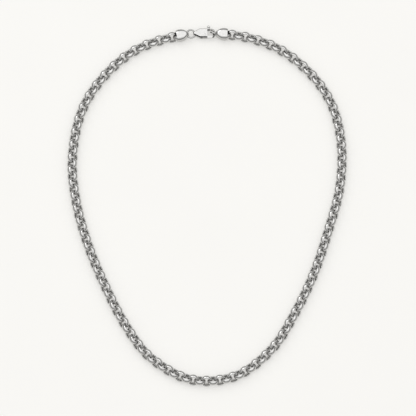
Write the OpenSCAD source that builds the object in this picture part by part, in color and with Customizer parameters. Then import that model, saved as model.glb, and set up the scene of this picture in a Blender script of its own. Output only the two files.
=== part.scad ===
// Rolo chain necklace with two end caps and a lobster clasp, closed and lying flat.
// Millimetres. Z = 0 is the surface it lies on, the clasp is at +Y, X runs along the clasp.

/* [Loop] */
// Width of the loop as it lies, between the middles of the chain at its sides
loop_w = 124; // [120:1:140]
// Length of the loop as it lies, from the clasp to the middle of the chain at the front
loop_l = 165; // [160:1:185]

/* [Links] */
// Outside diameter of a link
link_d = 5.4; // [5.3:0.05:5.5]
// Width of the half-round wire, along the link's own axis
wire_w = 2.1; // [1.9:0.05:2.2]
// Thickness of the half-round wire at the middle of its width
wire_t = 0.95; // [0.9:0.05:1]
// Radius of the domed outer side of the wire
dome_r = 1.5; // [1.3:0.05:1.8]
// Radius of the slight crown on the wire's inner side
crown_r = 2.4; // [2:0.1:4]
// Lean of the links, one way and then the other
link_lean = 45; // [43:1:47]
// Play between two linked links when the chain is straight
link_play = 0.32; // [0.3:0.01:0.36]

/* [End caps] */
// Length of an end cap
cap_l = 5.75; // [5.4:0.05:6.2]
// Width of an end cap at its widest
cap_w = 5.7; // [5.4:0.05:5.9]
// Height of an end cap at its highest
cap_h = 5.2; // [5:0.05:5.5]
// Wall of an end cap
cap_wall = 0.32; // [0.25:0.01:0.4]
// Size across the rounded corners of a cap, as a share of its sharp diagonal
cap_corner = 0.82; // [0.8:0.01:0.86]
// How far the soldered end link sits inside the mouth
link_inset = 0.9; // [0.6:0.1:1.2]

/* [Rings] */
// Outside diameter of the jump ring between the left cap and the clasp
jump_d = 4.6; // [4.5:0.05:4.9]
// Wire of the jump ring
jump_wire = 0.8; // [0.7:0.05:0.85]
// Distance from the tip of a cap or the clasp's tail to the wire of the jump ring
eye_back = 0.86; // [0.84:0.02:1]
// Outside diameter of the catch ring soldered to the right cap
catch_d = 3.7; // [3.65:0.05:3.9]
// Wire of the catch ring
catch_wire = 0.7; // [0.65:0.01:0.72]
// Lean of the catch ring from upright
catch_lean = 12; // [8:1:14]

/* [Clasp] */
// Length of the clasp
clasp_l = 10.1; // [10:0.05:10.6]
// Width of the clasp without its thumb tab
clasp_w = 4.4; // [4.3:0.05:4.6]
// Thickness of the clasp's body
clasp_t = 3; // [2.8:0.05:3.4]
// Thickness of the claw where it leaves the body
claw_t = 2.3; // [2.1:0.05:2.6]
// Thickness of the claw at its end bar
claw_end_t = 1.5; // [1.4:0.05:1.6]
// Thickness of the clasp's tail
tail_t = 2.1; // [2:0.05:2.3]
// Length of the body, from the tail to the claw's opening
body_l = 6.6; // [6.5:0.05:6.7]
// Width of the claw's end bar
bar_w = 0.98; // [0.9:0.02:1.02]
// Width of the claw's fixed arm
arm_w = 0.95; // [0.85:0.05:1]
// Bevel round the faces of the clasp
clasp_bevel = 0.4; // [0.3:0.05:0.5]

/* [Lever] */
// Thickness of the lever
lever_t = 0.9; // [0.8:0.05:1]
// Width of the gate, the lever's arm
gate_w = 0.95; // [0.85:0.05:1.05]
// Diameter of the lever's thumb tab
tab_d = 1.3; // [1.1:0.05:1.4]
// Height of the lever's thumb tab
tab_t = 1.8; // [1.4:0.05:2]
// How far the thumb tab stands out of the body
tab_out = 1.5; // [1.3:0.05:1.7]
// Diameter of the rivet
rivet_d = 1; // [0.8:0.05:1.1]
// Running gap between the lever and the body
lever_gap = 0.1; // [0.08:0.01:0.14]

/* [Hidden] */
$fn = 48;
hull_fn = 32;
gap = 0.1;
over = 1;

// Chosen places: the clasp's tail, and how the pieces of the closure turn in plan
clasp_at = [-6.4, 0.4935 * loop_l];
jump_turn = 9;
left_turn = 11;
right_turn = -3;

// Chosen points of the chain's run, from the left cap round the front to the right cap,
// for a loop of route_size
route_points = [
    [-33.5, 73], [-49, 59], [-58.5, 42], [-62, 20.5], [-60, 0.5], [-54.5, -19.5],
    [-46.5, -39], [-37, -57.5], [-25.5, -72.5], [-7.5, -82.5], [13, -81], [29.5, -68.5],
    [40, -52], [49, -33], [55.5, -13.5], [61, 7], [62, 28], [57.5, 47.5],
    [46.5, 63.5], [30, 75.5]
];
route_size = [124, 165];
steps_per_span = 24;

// Link
link_ri = link_d / 2 - wire_t;
half_w = wire_w / 2;
side_x = link_d / 2 - dome_r + sqrt(dome_r * dome_r - half_w * half_w);
rests_on_side = dome_r * cos(link_lean) > half_w;
link_z = rests_on_side
    ? side_x * sin(link_lean) + half_w * cos(link_lean)
    : (link_d / 2 - dome_r) * sin(link_lean) + dome_r;
crown_samples = 8;

// End caps: a share of the length from the mouth, and shares of the width and height there
cap_outside = [
    [0, 0.9, 0.92], [0.06, 0.94, 0.95], [0.16, 0.98, 0.98], [0.3, 1, 1], [0.42, 0.98, 1],
    [0.54, 0.92, 0.98], [0.66, 0.8, 0.95], [0.77, 0.65, 0.9], [0.87, 0.48, 0.8],
    [0.95, 0.36, 0.62], [1, 0.24, 0.4]
];
cap_hollow_to = 5;
cap_z = cap_h / 2;

// Rings: the catch ring all but stands on the surface, and the clasp's middle is level with it
jump_r = (jump_d - jump_wire) / 2;
catch_r = (catch_d - catch_wire) / 2;
clasp_z = catch_d / 2 + gap;
catch_in = 0.95;
catch_off = 0.5;
catch_turn = -12;
tip_gap = 0.16;
tip_drop = 0.35;

// Clasp, from its tail along X, with its middle plane at Z = 0
edge_y = clasp_w / 2;
tail_r = 0.95;
corner_r = 1.2;
shoulder_x = body_l - 3.2;
claw_r = 1.35;
claw_x = clasp_l - claw_r;
opening_r = 0.55;
opening_end = clasp_l - bar_w;
opening_top = edge_y - arm_w;
gate_top = gate_w - edge_y;

// Lever: its hub lies in the body's corner by the gate
rivet_fit = 0.04;
hub_wall = 0.55;
hub_in = 0.15;
hub_r = rivet_d / 2 + hub_wall;
pivot = [body_l - hub_in - hub_r, hub_in + hub_r - edge_y];
reach = opening_end - pivot[0];
slot_t = lever_t + 2 * lever_gap;
gate_in = 0.05;
stem_w = 0.9;
tab_at = [body_l + 0.6, edge_y + tab_out - tab_d / 2];

// Small vector and curve functions
function turned(a) = [cos(a), sin(a)];
function span_point(a, b, c, d, t) =
    0.5 * (2 * b + (c - a) * t + (2 * a - 5 * b + 4 * c - d) * t * t
           + (3 * b - a - 3 * c + d) * t * t * t);

// Places of the closure
tail_eye = clasp_at + [eye_back, 0];
left_eye = tail_eye - 2 * jump_r * turned(jump_turn);
left_tip = left_eye + eye_back * turned(left_turn);
left_mouth = left_tip - cap_l * turned(left_turn);
right_tip = clasp_at + [clasp_l + tip_gap, -tip_drop];
right_mouth = right_tip + cap_l * turned(right_turn);

// Run of the chain, from one soldered link to the other
left_start = left_mouth + link_inset * turned(left_turn);
right_start = right_mouth - link_inset * turned(right_turn);
sized_route = [
    for (p = route_points)
        [p[0] * loop_w / route_size[0], p[1] * loop_l / route_size[1]]
];
run_points = concat([left_start], sized_route, [right_start]);
last_point = len(run_points) - 1;
before_run = run_points[1]
    + 2 * norm(run_points[1] - run_points[0]) * turned(left_turn);
after_run = run_points[last_point - 1]
    - 2 * norm(run_points[last_point] - run_points[last_point - 1]) * turned(right_turn);
knots = concat([before_run], run_points, [after_run]);
curve = concat(
    [for (k = [0 : last_point - 1])
        for (j = [0 : steps_per_span - 1])
            span_point(knots[k], knots[k + 1], knots[k + 2], knots[k + 3], j / steps_per_span)],
    [right_start]);
run_lengths = [
    for (i = 0, s = 0; i < len(curve);
         i = i + 1, s = i < len(curve) ? s + norm(curve[i] - curve[i - 1]) : s)
        s
];
run_x = [for (i = [0 : len(curve) - 1]) [run_lengths[i], curve[i][0]]];
run_y = [for (i = [0 : len(curve) - 1]) [run_lengths[i], curve[i][1]]];
run_l = run_lengths[len(curve) - 1];
function run_at(s) = [lookup(s, run_x), lookup(s, run_y)];
function run_heading(s) =
    let (ahead = run_at(min(s + 0.5, run_l)) - run_at(max(s - 0.5, 0)))
    atan2(ahead[1], ahead[0]);

// Pitch: two crowned half-round wires bear on each other where their sides are closest
function crown_sag(e) = crown_r - sqrt(crown_r * crown_r - e * e);
function bearing(e) = 2 * sqrt(pow(link_ri + crown_sag(e), 2) - e * e);
pitch_max = min([for (k = [0 : crown_samples]) bearing(half_w * k / crown_samples)]) - link_play;
spans = ceil(run_l / pitch_max);
pitch = run_l / spans;
half_way = floor(spans / 2);

// One link, flat on Z = 0 round the origin
module link() {
    rotate_extrude()
        intersection() {
            translate([link_d / 2 - dome_r, 0])
                circle(r = dome_r);
            translate([link_ri + crown_r, 0])
                circle(r = crown_r);
            translate([0, -half_w])
                square([link_d, wire_w]);
        }
}

// Link number i where it lies in the chain: the two soldered ones are 0 and spans
module placed_link(i) {
    at = run_at(i * pitch);
    translate([at[0], at[1], link_z])
        rotate([0, 0, run_heading(i * pitch)])
            rotate([i % 2 == 0 ? link_lean : -link_lean, 0, 0])
                link();
}

module chain_left() {
    color("silver")
        for (i = [1 : half_way])
            placed_link(i);
}

module chain_right() {
    color("gainsboro")
        for (i = [half_way + 1 : spans - 1])
            placed_link(i);
}

// Half outlines of a cap, seen from above, from the side and across its corners,
// at share rows 0 to last: [along, half size less a wall]
function half_plan(i) = cap_outside[i][1] * cap_w / 2;
function half_side(i) = cap_outside[i][2] * cap_h / 2;
function plan_rows(wall, last) =
    [for (i = [0 : last]) [cap_outside[i][0] * cap_l, half_plan(i) - wall]];
function side_rows(wall, last) =
    [for (i = [0 : last]) [cap_outside[i][0] * cap_l, half_side(i) - wall]];
function corner_rows(wall, last) =
    [for (i = [0 : last])
        [cap_outside[i][0] * cap_l, cap_corner * norm([half_plan(i), half_side(i)]) - wall]];
function with_start(rows, before) =
    before > 0 ? concat([[-before, rows[0][1]]], rows) : rows;
function flipped(rows) = [
    for (i = [len(rows) - 1 : -1 : 0])
        [rows[i][0], -rows[i][1]]
];
function swapped(rows) = [
    for (row = rows)
        [row[1], row[0]]
];

// Solid pillow along X: a plan outline, a side outline, and a turned one that rounds the corners.
// It starts that far before X = 0, so that a hollow cuts through the mouth.
module cap_pillow(wall, last, before) {
    plan = with_start(plan_rows(wall, last), before);
    side = with_start(side_rows(wall, last), before);
    round = with_start(corner_rows(wall, last), before);
    intersection() {
        translate([0, 0, -cap_h])
            linear_extrude(height = 2 * cap_h)
                polygon(concat(plan, flipped(plan)));
        translate([0, cap_w, 0])
            rotate([90, 0, 0])
                linear_extrude(height = 2 * cap_w)
                    polygon(concat(side, flipped(side)));
        rotate([0, 90, 0])
            rotate_extrude()
                polygon(concat([[0, -before]], swapped(round), [[0, round[len(round) - 1][0]]]));
    }
}

// Cap shell, its mouth on X = 0 and its tip towards +X
module cap_shell() {
    difference() {
        cap_pillow(0, len(cap_outside) - 1, 0);
        cap_pillow(cap_wall, cap_hollow_to, over);
    }
}

// A ring of round wire in the plane Z = 0
module wire_ring(mean_r, wire) {
    rotate_extrude()
        translate([mean_r, 0])
            circle(r = wire / 2);
}

// The jump ring where it lies, its wire grown by a clearance for the eyes it runs through
module placed_jump_ring(clearance) {
    middle = (left_eye + tail_eye) / 2;
    translate([middle[0], middle[1], (cap_z + clasp_z) / 2])
        rotate([0, asin((cap_z - clasp_z) / (2 * jump_r)), jump_turn])
            wire_ring(jump_r, jump_wire + 2 * clearance);
}

// The catch ring: upright through the claw, its far side sunk in the right cap
module placed_catch_ring() {
    translate([clasp_at[0] + opening_end - catch_in + catch_r,
               clasp_at[1] + catch_off + catch_r * sin(catch_turn), clasp_z])
        rotate([0, 0, catch_turn])
            rotate([90 + catch_lean, 0, 0])
                wire_ring(catch_r, catch_wire);
}

module end_cap_left() {
    color("whitesmoke")
        union() {
            difference() {
                translate([left_mouth[0], left_mouth[1], cap_z])
                    rotate([0, 0, left_turn])
                        cap_shell();
                placed_jump_ring(gap);
            }
            placed_link(0);
        }
}

module end_cap_right() {
    color("whitesmoke")
        union() {
            translate([right_mouth[0], right_mouth[1], cap_z])
                rotate([0, 0, 180 + right_turn])
                    cap_shell();
            placed_link(spans);
            placed_catch_ring();
        }
}

module jump_ring() {
    color("lightgray")
        placed_jump_ring(0);
}

// A disc with bevelled edges, centred on Z = 0, to stretch a hull over
module puck(at, r, t) {
    translate([at[0], at[1], -t / 2]) {
        cylinder(r = r - clasp_bevel, h = t, $fn = hull_fn);
        translate([0, 0, clasp_bevel])
            cylinder(r = r, h = t - 2 * clasp_bevel, $fn = hull_fn);
    }
}

// Body of the clasp before its openings: a drop with flat faces, cut square at the claw
module body_blank() {
    intersection() {
        hull() {
            puck([tail_r, 0], tail_r, tail_t);
            for (side = [-1, 1]) {
                puck([shoulder_x, side * (edge_y - corner_r)], corner_r, clasp_t);
                puck([body_l, side * (edge_y - corner_r)], corner_r, clasp_t);
            }
        }
        translate([-over, -clasp_w, -clasp_t])
            cube([body_l + over, 2 * clasp_w, 2 * clasp_t]);
    }
}

// Claw of the clasp before its opening is cut
module claw_blank() {
    hull()
        for (side = [-1, 1]) {
            puck([body_l - corner_r, side * (edge_y - claw_r)], claw_r, claw_t);
            puck([claw_x, side * (edge_y - claw_r)], claw_r, claw_end_t);
        }
}

// Outline of the claw's opening, with the room that the gate closes
module opening_outline() {
    right = opening_end - opening_r;
    top = opening_top - opening_r;
    translate([body_l, gate_top])
        square([right - body_l, opening_top - gate_top]);
    translate([body_l, gate_top])
        square([opening_end - body_l, top - gate_top]);
    translate([right, top])
        circle(r = opening_r);
    intersection() {
        translate(pivot)
            circle(r = reach);
        translate([body_l, -clasp_w])
            square([clasp_l, clasp_w + gate_top + over / 10]);
    }
}

// Outline of the slot that the lever swings in, through the body from edge to edge
module slot_outline() {
    back = pivot[0] - hub_r;
    polygon([
        [back - 1.15, -edge_y - over], [back - 0.45, pivot[1] + 0.7],
        [pivot[0] - 0.3, edge_y], [pivot[0] - 0.3, edge_y + over],
        [tab_at[0] + stem_w / 2 + 0.3, edge_y + over], [tab_at[0] + stem_w / 2 - 0.05, edge_y],
        [body_l + hub_in, opening_top - 0.3], [body_l + hub_in, -edge_y - over]
    ]);
}

module clasp_local() {
    difference() {
        union() {
            body_blank();
            claw_blank();
        }
        translate([0, 0, -clasp_t])
            linear_extrude(height = 2 * clasp_t)
                opening_outline();
        translate([0, 0, -slot_t / 2])
            linear_extrude(height = slot_t)
                slot_outline();
        translate([pivot[0], pivot[1], -clasp_t])
            cylinder(d = rivet_d + 2 * rivet_fit, h = 2 * clasp_t);
    }
}

module clasp_body() {
    color("white")
        difference() {
            translate([clasp_at[0], clasp_at[1], clasp_z])
                clasp_local();
            placed_jump_ring(gap);
        }
}

// Outline of the lever: hub, gate, and the stem up to the thumb tab
module lever_outline() {
    stem_top = tab_at[1] - tab_d / 4;
    difference() {
        union() {
            translate(pivot)
                circle(r = hub_r);
            intersection() {
                translate(pivot)
                    circle(r = reach - lever_gap);
                translate([pivot[0] - hub_r, gate_in - edge_y])
                    square([reach + hub_r, gate_w - gate_in]);
            }
            polygon([
                [pivot[0] - 0.6, pivot[1]], [pivot[0] - 0.1, pivot[1] + 1.5],
                [tab_at[0] - stem_w / 2, stem_top], [tab_at[0] + stem_w / 2, stem_top],
                [tab_at[0] + stem_w / 6, edge_y], [body_l - gap, opening_top - 0.2],
                [pivot[0] + 0.8, pivot[1]]
            ]);
        }
        translate(pivot)
            circle(d = rivet_d + 2 * rivet_fit);
    }
}

module clasp_lever() {
    color("ghostwhite")
        translate([clasp_at[0], clasp_at[1], clasp_z]) {
            translate([0, 0, -lever_t / 2])
                linear_extrude(height = lever_t)
                    lever_outline();
            translate([tab_at[0], tab_at[1], -tab_t / 2])
                cylinder(d = tab_d, h = tab_t);
        }
}

module clasp_rivet() {
    color("silver")
        translate([clasp_at[0] + pivot[0], clasp_at[1] + pivot[1], clasp_z - clasp_t / 2])
            cylinder(d = rivet_d, h = clasp_t);
}

chain_left();
chain_right();
end_cap_left();
end_cap_right();
jump_ring();
clasp_body();
clasp_lever();
clasp_rivet();
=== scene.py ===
"""A rolo chain necklace, closed and lying flat: half-round links, bell end caps, a lobster clasp.

Pieces are modelled in millimetres on the bench and become metres when they are laid in place.
"""
import logging
import math
from dataclasses import dataclass
from enum import Enum
from typing import Callable, Sequence, Union

import bmesh
import bpy
from mathutils import Matrix, Vector


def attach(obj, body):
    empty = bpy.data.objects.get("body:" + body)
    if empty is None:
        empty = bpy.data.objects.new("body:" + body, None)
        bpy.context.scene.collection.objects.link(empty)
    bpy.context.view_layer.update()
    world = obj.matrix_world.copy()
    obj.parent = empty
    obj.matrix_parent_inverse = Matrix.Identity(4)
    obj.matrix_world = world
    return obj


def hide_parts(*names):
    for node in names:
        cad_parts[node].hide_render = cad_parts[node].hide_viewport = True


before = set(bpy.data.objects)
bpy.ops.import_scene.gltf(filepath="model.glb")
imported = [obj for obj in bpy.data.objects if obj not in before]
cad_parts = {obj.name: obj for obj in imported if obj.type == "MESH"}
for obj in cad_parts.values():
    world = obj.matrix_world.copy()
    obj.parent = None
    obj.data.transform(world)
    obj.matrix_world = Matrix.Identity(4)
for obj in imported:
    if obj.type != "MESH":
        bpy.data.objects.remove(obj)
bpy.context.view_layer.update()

log = logging.getLogger("necklace")

# Lengths on the bench are in millimetres and angles in degrees
MM = 0.001
TOUCH = 1e-4
NEAR = 1e-3
SLIVER = 0.012
FLAT = 0.4
FAR = 9.0
HERE = Matrix.Identity(4)

# Name of the mark of how deep in a hollow a point lies; the finishes darken the colour there as
# painted shade.
HOLLOW_DEPTH = "hollow_depth"

Point = tuple[float, float]
Colour = tuple[float, float, float]


class Body(Enum):
    """The two bodies that a piece can ride on."""

    NECKLACE = "necklace"
    LEVER = "lever"


class Slot(Enum):
    """The material slots of the record."""

    CHAIN = "chain_metal"
    CAP = "cap_metal"
    CLASP = "clasp_metal"


class Cut(Enum):
    """What one solid does to another."""

    JOIN = "UNION"
    REMOVE = "DIFFERENCE"
    KEEP = "INTERSECT"


# Finishes


class Signal:
    """A number that a shader node gives, for use in plain expressions."""

    def __init__(self, graph: "Graph", socket: bpy.types.NodeSocket) -> None:
        """Wrap a socket.

        Args:
            graph: The graph that the socket belongs to.
            socket: The output socket that carries the number.
        """
        self.graph = graph
        self.socket = socket

    def _math(self, operation: str, first: "Value", second: "Value") -> "Signal":
        """One Math node on two values."""
        return self.graph.add("ShaderNodeMath", {"operation": operation}, {0: first, 1: second})

    def __add__(self, other: "Value") -> "Signal":
        """self + other."""
        return self._math("ADD", self, other)

    __radd__ = __add__

    def __mul__(self, other: "Value") -> "Signal":
        """self * other."""
        return self._math("MULTIPLY", self, other)

    __rmul__ = __mul__

    def __sub__(self, other: "Value") -> "Signal":
        """self - other."""
        return self._math("SUBTRACT", self, other)

    def __rsub__(self, other: "Value") -> "Signal":
        """other - self."""
        return self._math("SUBTRACT", other, self)

    def clamped(self) -> "Signal":
        """The number held between 0 and 1."""
        return self.graph.add("ShaderNodeClamp", {}, {"Value": self})


Value = Union[float, Signal]


class Graph:
    """The node graph of one material or of the world."""

    def __init__(self, owner: Union[bpy.types.Material, bpy.types.World]) -> None:
        """Start with an empty graph.

        Args:
            owner: The new material or world that the graph belongs to.
        """
        self.owner = owner
        self.owner.use_nodes = True
        self.tree = self.owner.node_tree
        self.tree.nodes.clear()

    def add(self, kind: str, settings: dict, sockets: dict, output: Union[int, str] = 0) -> Signal:
        """Add a node, set it up and connect it.

        Args:
            kind: The node's type.
            settings: Its properties, set before its sockets.
            sockets: Values or links for its inputs, by name or number.
            output: Which output to give back.

        Returns:
            The chosen output.
        """
        node = self.tree.nodes.new(kind)
        for key, value in settings.items():
            setattr(node, key, value)
        for key, value in sockets.items():
            if isinstance(value, Signal):
                self.tree.links.new(value.socket, node.inputs[key])
            else:
                node.inputs[key].default_value = value
        return Signal(self, node.outputs[output])

    def position(self) -> Signal:
        """Where a point is on the piece, in metres."""
        return self.add("ShaderNodeTexCoord", {}, {}, "Object")

    def noise(self, size_mm: float, detail: float, drawn: float = 1.0) -> Signal:
        """Soft noise with features of about that size.

        Args:
            size_mm: Size of one blotch in millimetres.
            detail: How many finer layers it has.
            drawn: How many times longer than wide the blotches are, along X.

        Returns:
            A number from 0 to 1.
        """
        at = self.add("ShaderNodeVectorMath", {"operation": "MULTIPLY"},
                      {0: self.position(), 1: (1.0 / drawn, 1.0, 1.0)})
        return self.add("ShaderNodeTexNoise", {"noise_dimensions": "3D"},
                        {"Vector": at, "Scale": 1.0 / (size_mm * MM), "Detail": detail})

    def blend(self, share: Value, low: Union[Colour, Signal],
              high: Union[Colour, Signal]) -> Signal:
        """A colour between two, by a share from 0 to 1."""
        low, high = (c if isinstance(c, Signal) else (*c, 1.0) for c in (low, high))
        return self.add("ShaderNodeMix", {"data_type": "RGBA"}, {0: share, 6: low, 7: high}, 2)

    def hollow_depth(self) -> Signal:
        """How deep in a hollow of a piece a point is, from 0 to 1, where the finishes paint shade.
        """
        return self.add("ShaderNodeAttribute", {"attribute_name": HOLLOW_DEPTH}, {}, "Fac")

    def bump(self, height: Signal, depth_mm: float) -> Signal:
        """A surface normal from a height of 0 to 1 that stands for a depth in millimetres."""
        return self.add("ShaderNodeBump", {}, {"Height": height, "Strength": 1.0,
                                               "Distance": depth_mm * MM})

    def step(self, value: Value, low: float, high: float, to_low: float = 0.0,
             to_high: float = 1.0) -> Signal:
        """A smooth step from one level to another as a value passes between two marks."""
        return self.add("ShaderNodeMapRange", {"interpolation_type": "SMOOTHSTEP"},
                        {0: value, 1: low, 2: high, 3: to_low, 4: to_high})

    def close(self, kind: str, shader: Signal) -> None:
        """Lead the finished shader to an output node of that type."""
        output = self.tree.nodes.new(kind)
        self.tree.links.new(shader.socket, output.inputs["Surface"])

    def finish(self, surface: dict) -> bpy.types.Material:
        """Close the graph with one surface shader.

        Args:
            surface: Values and links of the shader's inputs.

        Returns:
            The finished material.
        """
        shader = self.add("ShaderNodeBsdfPrincipled", {}, surface)
        self.close("ShaderNodeOutputMaterial", shader)
        return self.owner


@dataclass(frozen=True)
class PolishedMetal:
    """Polished white metal with faint haze, handling marks and hairlines, rougher in its hollows,
    where its colour is darkened as painted shade.
    """

    name: str
    bright: Colour = (0.54, 0.537, 0.53)
    dull: Colour = (0.47, 0.467, 0.46)
    # Colour deep in the hollows: painted shade, darker than the open metal.
    hollow_shade: Colour = (0.42, 0.417, 0.408)
    gloss: float = 0.08
    haze: float = 0.10
    haze_size_mm: float = 0.9
    haze_from: float = 0.42
    haze_gain: float = 3.2
    haze_share: float = 0.6
    mark_size_mm: float = 0.16
    mark_depth_mm: float = 0.0012
    mark_share: float = 0.4
    hair_size_mm: float = 0.05
    hair_length: float = 40.0
    hair_from: float = 0.62
    hair_gain: float = 7.0
    hair_depth: float = 0.5
    hollow_shade_from: float = 0.3
    hollow_shade_full: float = 0.85

    def make(self) -> bpy.types.Material:
        """Build the material.

        Returns:
            The material, with its variation on Object coordinates and on the shelter mark.
        """
        graph = Graph(bpy.data.materials.new(self.name))
        clouds = graph.noise(self.haze_size_mm, detail=4.0)
        marks = graph.noise(self.mark_size_mm, detail=5.0)
        hairs = graph.noise(self.hair_size_mm, detail=1.0, drawn=self.hair_length)
        worn = ((clouds - self.haze_from) * self.haze_gain).clamped()
        scratched = ((hairs - self.hair_from) * self.hair_gain).clamped()
        # Deeper in a hollow, the base colour blends to painted shade and the roughness rises.
        inside = graph.step(graph.hollow_depth(), self.hollow_shade_from, self.hollow_shade_full)
        open_metal = graph.blend(worn, self.bright, self.dull)
        return graph.finish({
            "Base Color": graph.blend(inside, open_metal, self.hollow_shade),
            "Metallic": 1.0,
            "Roughness": (self.gloss + worn * (self.haze * self.haze_share)
                          + marks * (self.haze * self.mark_share)
                          + scratched * self.haze + inside * self.haze),
            "Normal": graph.bump(marks - scratched * self.hair_depth, self.mark_depth_mm),
        })


@dataclass(frozen=True)
class PaleCard:
    """The pale, faintly warm card that the necklace lies on, lit a little from below."""

    name: str = "pale_card"
    tone: Colour = (0.47, 0.466, 0.453)
    shade: Colour = (0.46, 0.456, 0.443)
    mottle_mm: float = 40.0
    roughness: float = 0.75
    roughness_change: float = 0.1
    glow: float = 0.415
    glow_tone: Colour = (1.0, 0.99, 0.963)

    def make(self) -> bpy.types.Material:
        """Build the material.

        Returns:
            A matt material with a faint mottle.
        """
        graph = Graph(bpy.data.materials.new(self.name))
        mottle = graph.noise(self.mottle_mm, detail=2.0)
        return graph.finish({
            "Base Color": graph.blend(mottle, self.tone, self.shade),
            "Roughness": self.roughness + mottle * self.roughness_change,
            "Emission Color": (*self.glow_tone, 1.0),
            "Emission Strength": self.glow,
        })


# The modelling bench


class Bench:
    """Modelling by hand: adds, selects, shapes and lays down pieces."""

    @staticmethod
    def clear() -> None:
        """Leave edit mode and deselect everything."""
        if bpy.context.object is not None and bpy.context.object.mode != "OBJECT":
            bpy.ops.object.mode_set(mode="OBJECT")
        bpy.ops.object.select_all(action="DESELECT")

    @staticmethod
    def only(obj: bpy.types.Object) -> None:
        """Select one object alone and make it active.

        Args:
            obj: The object to select.
        """
        Bench.clear()
        obj.select_set(True)
        bpy.context.view_layer.objects.active = obj

    @staticmethod
    def edit(obj: bpy.types.Object, mode: str = "VERT") -> None:
        """Open an object in edit mode with nothing selected.

        Args:
            obj: The object to shape.
            mode: "VERT", "EDGE" or "FACE", what is selected in it.
        """
        Bench.only(obj)
        bpy.ops.object.mode_set(mode="EDIT")
        bpy.ops.mesh.select_mode(type=mode)
        bpy.ops.mesh.select_all(action="DESELECT")

    @staticmethod
    def everything() -> None:
        """Select the whole mesh that is being edited."""
        bpy.ops.mesh.select_all(action="SELECT")

    @staticmethod
    def pick(obj: bpy.types.Object, kind: str, test: Callable[..., bool]) -> None:
        """Select what passes a test, and nothing else.

        Args:
            obj: The object in edit mode.
            kind: "verts", "edges" or "faces".
            test: Takes one element and says whether to select it.
        """
        bpy.ops.mesh.select_all(action="DESELECT")
        mesh = bmesh.from_edit_mesh(obj.data)
        for element in [e for e in getattr(mesh, kind) if test(e)]:
            element.select_set(True)
        mesh.select_flush_mode()
        bmesh.update_edit_mesh(obj.data)

    @staticmethod
    def push(move: Sequence[float]) -> None:
        """Extrude the selected region and move it."""
        bpy.ops.mesh.extrude_region_move(TRANSFORM_OT_translate={"value": tuple(move)})

    @staticmethod
    def resize(scale: Sequence[float], centre: Sequence[float]) -> None:
        """Scale what is selected about a centre."""
        bpy.ops.transform.resize(value=tuple(scale), center_override=tuple(centre))

    @staticmethod
    def tidy(obj: bpy.types.Object) -> None:
        """Merge doubles and turn all faces outwards.

        Args:
            obj: The object to tidy.
        """
        Bench.edit(obj)
        Bench.everything()
        bpy.ops.mesh.remove_doubles(threshold=TOUCH)
        bpy.ops.mesh.normals_make_consistent(inside=False)
        Bench.clear()

    @staticmethod
    def clean(obj: bpy.types.Object) -> None:
        """Merge the slivers that cutting leaves and dissolve edges inside flat faces.

        Args:
            obj: The solid that was cut.
        """
        Bench.edit(obj)
        Bench.everything()
        bpy.ops.mesh.remove_doubles(threshold=SLIVER)
        bpy.ops.mesh.dissolve_limited(angle_limit=math.radians(FLAT))
        bpy.ops.mesh.normals_make_consistent(inside=False)
        Bench.clear()

    @staticmethod
    def apply(obj: bpy.types.Object, modifier: bpy.types.Modifier) -> None:
        """Make a modifier's work part of the mesh."""
        Bench.only(obj)
        bpy.ops.object.modifier_apply(modifier=modifier.name)

    @staticmethod
    def even(obj: bpy.types.Object) -> None:
        """Let the large flat faces keep their shading up to their edges.

        Args:
            obj: The smooth-shaded solid.
        """
        modifier = obj.modifiers.new("even", "WEIGHTED_NORMAL")
        modifier.weight = 100
        modifier.keep_sharp = True
        Bench.apply(obj, modifier)

    @staticmethod
    def boolean(obj: bpy.types.Object, tool: bpy.types.Object, cut: Cut) -> None:
        """Join, cut or trim one solid with another, which is used up.

        Args:
            obj: The solid that is worked on.
            tool: The solid that works on it.
            cut: What the tool does.
        """
        modifier = obj.modifiers.new(cut.name.lower(), "BOOLEAN")
        modifier.operation = cut.value
        modifier.solver = "EXACT"
        modifier.object = tool
        Bench.apply(obj, modifier)
        bpy.data.objects.remove(tool, do_unlink=True)

    @staticmethod
    def join(objects: Sequence[bpy.types.Object]) -> bpy.types.Object:
        """Join loose pieces into the first one.

        Args:
            objects: The pieces, each with a mesh of its own.

        Returns:
            The first piece, which now holds them all.
        """
        Bench.clear()
        for obj in objects:
            obj.select_set(True)
        bpy.context.view_layer.objects.active = objects[0]
        bpy.ops.object.join()
        return objects[0]

    @staticmethod
    def copy(obj: bpy.types.Object, at: Matrix) -> bpy.types.Object:
        """Copy an object with a mesh of its own, moved within that mesh.

        Args:
            obj: The object to copy.
            at: Where the copy goes.

        Returns:
            The copy, whose object stays at the origin.
        """
        twin = obj.copy()
        twin.data = obj.data.copy()
        twin.data.transform(at)
        bpy.context.scene.collection.objects.link(twin)
        return twin

    @staticmethod
    def smooth(obj: bpy.types.Object, crease: float) -> None:
        """Shade smooth, but keep edges sharper than that many degrees."""
        Bench.only(obj)
        bpy.ops.object.shade_smooth_by_angle(angle=math.radians(crease))

    @staticmethod
    def mark_hollow_depth(obj: bpy.types.Object,
                     depth: Callable[[bpy.types.MeshVertex], float]) -> None:
        """Note on every point how deep in a hollow it lies, where the finishes paint shade.

        Args:
            obj: The shaped object.
            depth: Takes a point and gives 0 or less in the open and 1 or more right inside.
        """
        hollow_depth = obj.data.attributes.new(HOLLOW_DEPTH, "FLOAT", "POINT")
        for vertex, mark in zip(obj.data.vertices, hollow_depth.data):
            mark.value = min(max(depth(vertex), 0.0), 1.0)

    @staticmethod
    def seat(obj: bpy.types.Object) -> None:
        """Bake an object's own place into its mesh."""
        obj.data.transform(obj.matrix_basis)
        obj.matrix_basis = HERE

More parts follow.
